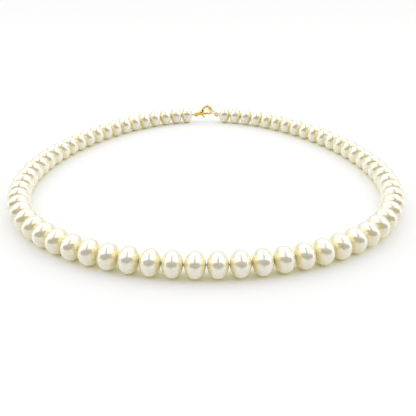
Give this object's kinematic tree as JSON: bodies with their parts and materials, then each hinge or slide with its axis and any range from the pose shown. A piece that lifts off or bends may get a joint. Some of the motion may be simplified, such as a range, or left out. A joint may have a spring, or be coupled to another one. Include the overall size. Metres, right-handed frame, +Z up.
{
  "type": "pearl necklace",
  "caption": "Single-strand necklace of equal cream-white button pearls on one thread, closed by a gold lobster clasp and end ring; lies as a closed loop.",
  "frame": {"origin": "on the resting surface, at the middle of the closed loop's box", "axes": "+Z up from the surface, +Y from the front of the strand to the clasp, +X to the wearer-side right seen from above with the clasp away"},
  "size_m": [0.1464, 0.1557, 0.0091],
  "materials": {
    "nacre": "pearlescent lustre",
    "thread": "twisted silk",
    "wire_cover": "fine coiled wire, polished",
    "gold": "polished gold plate",
    "ring_gold": "polished rose-gold plate",
    "spring_steel": "drawn wire"
  },
  "bodies": {
    "front": {"pearls_front": "nacre", "thread_front": "thread"},
    "right_1": {"pearls_right_1": "nacre", "thread_right_1": "thread"},
    "right_2": {"pearls_right_2": "nacre", "thread_right_2": "thread"},
    "right_3": {"pearls_right_3": "nacre", "thread_right_3": "thread"},
    "right_4": {"pearls_right_4": "nacre", "thread_right_4": "thread"},
    "right_5": {"pearls_right_5": "nacre", "thread_right_5": "thread"},
    "right_6": {"pearls_right_6": "nacre", "thread_right_6": "thread"},
    "right_7": {"pearls_right_7": "nacre", "thread_right_7": "thread"},
    "right_8": {"pearls_right_8": "nacre", "thread_right_8": "thread"},
    "right_9": {"pearls_right_9": "nacre", "thread_right_9": "thread"},
    "right_10": {"pearls_right_10": "nacre", "thread_right_10": "thread"},
    "right_11": {"pearls_right_11": "nacre", "thread_right_11": "thread", "gimp_right": "wire_cover"},
    "left_1": {"pearls_left_1": "nacre", "thread_left_1": "thread"},
    "left_2": {"pearls_left_2": "nacre", "thread_left_2": "thread"},
    "left_3": {"pearls_left_3": "nacre", "thread_left_3": "thread"},
    "left_4": {"pearls_left_4": "nacre", "thread_left_4": "thread"},
    "left_5": {"pearls_left_5": "nacre", "thread_left_5": "thread"},
    "left_6": {"pearls_left_6": "nacre", "thread_left_6": "thread"},
    "left_7": {"pearls_left_7": "nacre", "thread_left_7": "thread"},
    "left_8": {"pearls_left_8": "nacre", "thread_left_8": "thread"},
    "left_9": {"pearls_left_9": "nacre", "thread_left_9": "thread"},
    "left_10": {"pearls_left_10": "nacre", "thread_left_10": "thread"},
    "left_11": {"pearls_left_11": "nacre", "thread_left_11": "thread", "gimp_left": "wire_cover"},
    "clasp": {"clasp_body": "gold", "clasp_pin": "gold", "clasp_spring": "spring_steel"},
    "trigger": {"clasp_trigger": "gold"},
    "end_ring": {"end_ring": "ring_gold"}
  },
  "joints": [
    {"name": "bend_right_1", "type": "hinge", "parent": "front", "child": "right_1", "pos_m": [0.01862, -0.07195, 0.004], "axis": [0, 0, 1], "range_deg": [-6, 6]},
    {"name": "bend_right_2", "type": "hinge", "parent": "right_1", "child": "right_2", "pos_m": [0.0363, -0.06586, 0.004], "axis": [0, 0, 1], "range_deg": [-2.3, 2.3]},
    {"name": "bend_right_3", "type": "hinge", "parent": "right_2", "child": "right_3", "pos_m": [0.05167, -0.05522, 0.004], "axis": [0, 0, 1], "range_deg": [-0.14, 0.14]},
    {"name": "bend_right_4", "type": "hinge", "parent": "right_3", "child": "right_4", "pos_m": [0.06279, -0.04023, 0.004], "axis": [0, 0, 1], "range_deg": [-2.36, 2.36]},
    {"name": "bend_right_5", "type": "hinge", "parent": "right_4", "child": "right_5", "pos_m": [0.06717, -0.02854, 0.004], "axis": [0, 0, 1], "range_deg": [-5.84, 5.84]},
    {"name": "lift_right_6", "type": "hinge", "parent": "right_5", "child": "right_6", "pos_m": [0.06913, -0.01621, 0.004], "axis": [1, 0, 0], "range_deg": [0, 12]},
    {"name": "lift_right_7", "type": "hinge", "parent": "right_6", "child": "right_7", "pos_m": [0.06894, -0.00372, 0.004], "axis": [1, 0, 0], "range_deg": [0, 12.02]},
    {"name": "bend_right_8", "type": "hinge", "parent": "right_7", "child": "right_8", "pos_m": [0.06691, 0.0086, 0.004], "axis": [0, 0, 1], "range_deg": [-4.22, 4.22]},
    {"name": "bend_right_9", "type": "hinge", "parent": "right_8", "child": "right_9", "pos_m": [0.06096, 0.02636, 0.004], "axis": [0, 0, 1], "range_deg": [-2.36, 2.36]},
    {"name": "bend_right_10", "type": "hinge", "parent": "right_9", "child": "right_10", "pos_m": [0.04827, 0.04783, 0.004], "axis": [0, 0, 1], "range_deg": [-0.68, 0.68]},
    {"name": "bend_right_11", "type": "hinge", "parent": "right_10", "child": "right_11", "pos_m": [0.0303, 0.06508, 0.004], "axis": [0, 0, 1], "range_deg": [-5.9, 5.9]},
    {"name": "bend_left_1", "type": "hinge", "parent": "front", "child": "left_1", "pos_m": [-0.01862, -0.07195, 0.004], "axis": [0, 0, 1], "range_deg": [-6.02, 6.02]},
    {"name": "bend_left_2", "type": "hinge", "parent": "left_1", "child": "left_2", "pos_m": [-0.0363, -0.06586, 0.004], "axis": [0, 0, 1], "range_deg": [-2.3, 2.3]},
    {"name": "bend_left_3", "type": "hinge", "parent": "left_2", "child": "left_3", "pos_m": [-0.05167, -0.05522, 0.004], "axis": [0, 0, 1], "range_deg": [-0.14, 0.14]},
    {"name": "bend_left_4", "type": "hinge", "parent": "left_3", "child": "left_4", "pos_m": [-0.06279, -0.04023, 0.004], "axis": [0, 0, 1], "range_deg": [-2.36, 2.36]},
    {"name": "bend_left_5", "type": "hinge", "parent": "left_4", "child": "left_5", "pos_m": [-0.06717, -0.02854, 0.004], "axis": [0, 0, 1], "range_deg": [-5.84, 5.84]},
    {"name": "lift_left_6", "type": "hinge", "parent": "left_5", "child": "left_6", "pos_m": [-0.06913, -0.01621, 0.004], "axis": [1, 0, 0], "range_deg": [0, 12.02]},
    {"name": "lift_left_7", "type": "hinge", "parent": "left_6", "child": "left_7", "pos_m": [-0.06894, -0.00372, 0.004], "axis": [1, 0, 0], "range_deg": [0, 12.02]},
    {"name": "bend_left_8", "type": "hinge", "parent": "left_7", "child": "left_8", "pos_m": [-0.06691, 0.0086, 0.004], "axis": [0, 0, 1], "range_deg": [-4.22, 4.22]},
    {"name": "bend_left_9", "type": "hinge", "parent": "left_8", "child": "left_9", "pos_m": [-0.06096, 0.02636, 0.004], "axis": [0, 0, 1], "range_deg": [-2.36, 2.36]},
    {"name": "bend_left_10", "type": "hinge", "parent": "left_9", "child": "left_10", "pos_m": [-0.04827, 0.04783, 0.004], "axis": [0, 0, 1], "range_deg": [-0.68, 0.68]},
    {"name": "bend_left_11", "type": "hinge", "parent": "left_10", "child": "left_11", "pos_m": [-0.0303, 0.06508, 0.004], "axis": [0, 0, 1], "range_deg": [-5.9, 5.9]},
    {"name": "clasp_tip_over", "type": "hinge", "parent": "left_11", "child": "clasp", "pos_m": [-0.00514, 0.0748, 0.004], "axis": [1, 0, 0], "range_deg": [-25, 25]},
    {"name": "ring_tip_over", "type": "hinge", "parent": "right_11", "child": "end_ring", "pos_m": [0.00607, 0.0748, 0.004], "axis": [1, 0, 0], "range_deg": [-25.02, 25.02]},
    {"name": "trigger_press", "type": "hinge", "parent": "clasp", "child": "trigger", "pos_m": [-0.00273, 0.0748, 0.00468], "axis": [0, -1, 0], "range_deg": [0, 17], "stiffness_Nm_per_rad": 0.0006}
  ],
  "couplings": [
    {"joint": "bend_right_2", "follows": "bend_right_1", "ratio": 0.38},
    {"joint": "bend_right_3", "follows": "bend_right_1", "ratio": -0.02},
    {"joint": "bend_right_4", "follows": "bend_right_1", "ratio": -0.39},
    {"joint": "bend_right_5", "follows": "bend_right_1", "ratio": -0.97},
    {"joint": "lift_right_7", "follows": "lift_right_6", "ratio": 1},
    {"joint": "bend_right_8", "follows": "bend_right_1", "ratio": -0.7},
    {"joint": "bend_right_9", "follows": "bend_right_1", "ratio": -0.39},
    {"joint": "bend_right_10", "follows": "bend_right_1", "ratio": 0.11},
    {"joint": "bend_right_11", "follows": "bend_right_1", "ratio": 0.98},
    {"joint": "bend_left_1", "follows": "bend_right_1", "ratio": -1},
    {"joint": "bend_left_2", "follows": "bend_right_1", "ratio": -0.38},
    {"joint": "bend_left_3", "follows": "bend_right_1", "ratio": 0.02},
    {"joint": "bend_left_4", "follows": "bend_right_1", "ratio": 0.39},
    {"joint": "bend_left_5", "follows": "bend_right_1", "ratio": 0.97},
    {"joint": "lift_left_6", "follows": "lift_right_6", "ratio": 1},
    {"joint": "lift_left_7", "follows": "lift_right_6", "ratio": 1},
    {"joint": "bend_left_8", "follows": "bend_right_1", "ratio": 0.7},
    {"joint": "bend_left_9", "follows": "bend_right_1", "ratio": 0.39},
    {"joint": "bend_left_10", "follows": "bend_right_1", "ratio": -0.11},
    {"joint": "bend_left_11", "follows": "bend_right_1", "ratio": -0.98},
    {"joint": "ring_tip_over", "follows": "clasp_tip_over", "ratio": 1}
  ]
}
